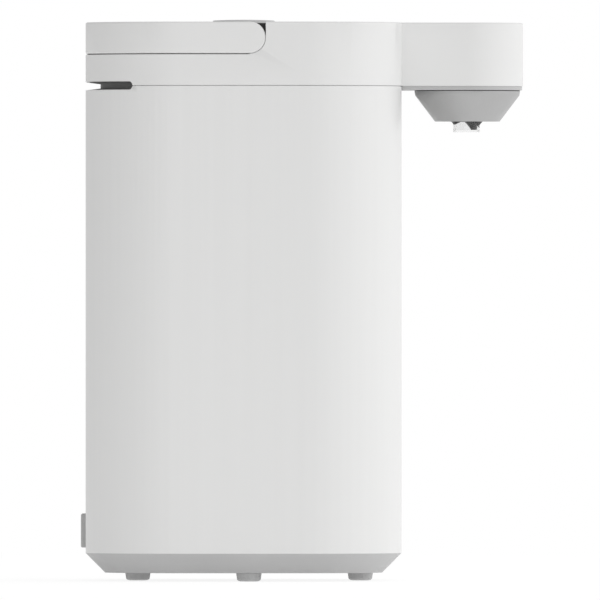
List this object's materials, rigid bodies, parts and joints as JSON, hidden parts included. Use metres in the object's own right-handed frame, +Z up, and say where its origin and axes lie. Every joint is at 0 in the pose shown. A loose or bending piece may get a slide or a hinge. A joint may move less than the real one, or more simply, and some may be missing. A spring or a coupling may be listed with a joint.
{
  "type": "hot water dispenser",
  "caption": "Counter-top hot water dispenser: rounded-square body on a bevelled base, overhanging spout head with a nozzle cone, folded carrying handle and hinged lid with a push button.",
  "frame": {"origin": "on the floor, on the upright axis of the rounded-square body, between the feet", "axes": "+X runs forward to the spout head, +Y to the dispenser's left side, away from the picture's viewpoint, +Z up"},
  "size_m": [0.2734, 0.195, 0.3468],
  "materials": {
    "white_plastic": "satin white moulded plastic",
    "white_shell": "satin white enamel on sheet steel",
    "grey_plastic": "fine-textured grey moulded plastic",
    "dark_plastic": "dark grey moulded plastic",
    "button_plastic": "glossy light grey plastic",
    "clear_plastic": "clear plastic",
    "window_plastic": "clear plastic",
    "rubber": "grey rubber",
    "silicone": "translucent white silicone",
    "stainless": "brushed stainless steel",
    "steel": "plated steel",
    "spring_steel": "spring steel",
    "aluminium": "cast aluminium",
    "brass": "nickel-free brass pins",
    "mica": "mica sheet in a foil sleeve",
    "inner_plastic": "natural white moulded plastic",
    "board_green": "green circuit board",
    "panel_glass": "glossy black panel"
  },
  "bodies": {
    "body": {"outer_shell": "white_shell", "top_housing": "white_plastic", "handle_pivots": "steel", "pivot_plates": "dark_plastic", "fill_neck": "white_plastic", "base_cover": "grey_plastic", "feet": "rubber", "base_screws": "steel", "level_window": "window_plastic", "vent_insert": "dark_plastic", "steam_duct": "inner_plastic", "hinge_pin": "steel", "liner": "stainless", "liner_shoulder": "stainless", "support_frame": "inner_plastic", "heater_plate": "aluminium", "heater_element": "stainless", "thermostat": "dark_plastic", "temperature_sensor": "stainless", "heater_band": "mica", "motor": "steel", "pump_housing": "inner_plastic", "pump_cover": "inner_plastic", "pump_screws": "steel", "inlet_hose": "silicone", "riser_tube": "window_plastic", "riser_coupler": "silicone", "spout_pipe": "silicone", "spout_cover": "grey_plastic", "nozzle_cone": "grey_plastic", "nozzle_funnel": "dark_plastic", "nozzle_tip": "clear_plastic", "control_panel": "panel_glass", "display_board": "board_green", "power_board": "board_green", "board_screws": "steel", "inlet_bezel": "grey_plastic", "inlet_socket": "dark_plastic", "inlet_pins": "brass"},
    "carrying_handle": {"handle": "white_plastic"},
    "lid": {"lid_cover": "white_plastic", "lid_plug": "inner_plastic", "lid_gasket": "silicone", "inner_lid_plate": "stainless", "lid_screws": "steel", "steam_valve": "silicone", "button_spring": "spring_steel"},
    "button": {"lid_button": "button_plastic"},
    "latch": {"latch_bolt": "dark_plastic"},
    "rotor": {"impeller": "inner_plastic", "motor_shaft": "steel"}
  },
  "joints": [
    {"name": "handle_swing", "type": "hinge", "parent": "body", "child": "carrying_handle", "pos_m": [0.0039, 0, 0.3349], "axis": [0, 1, 0], "range_deg": [0, 90]},
    {"name": "lid_swing", "type": "hinge", "parent": "body", "child": "lid", "pos_m": [-0.081, 0, 0.3375], "axis": [0, -1, 0], "range_deg": [0, 95]},
    {"name": "button_press", "type": "slide", "parent": "lid", "child": "button", "axis": [0, 0, -1], "range_m": [0, 0.0018], "stiffness_N_per_m": 900, "springref_m": -0.002, "deforming": ["button_spring"]},
    {"name": "latch_slide", "type": "slide", "parent": "lid", "child": "latch", "axis": [-1, 0, 0], "range_m": [0, 0.0018]},
    {"name": "pump_spin", "type": "hinge", "parent": "body", "child": "rotor", "pos_m": [0.04, 0, 0.0386], "axis": [0, 0, 1], "continuous": true}
  ],
  "couplings": [
    {"joint": "latch_slide", "follows": "button_press", "ratio": 1}
  ]
}
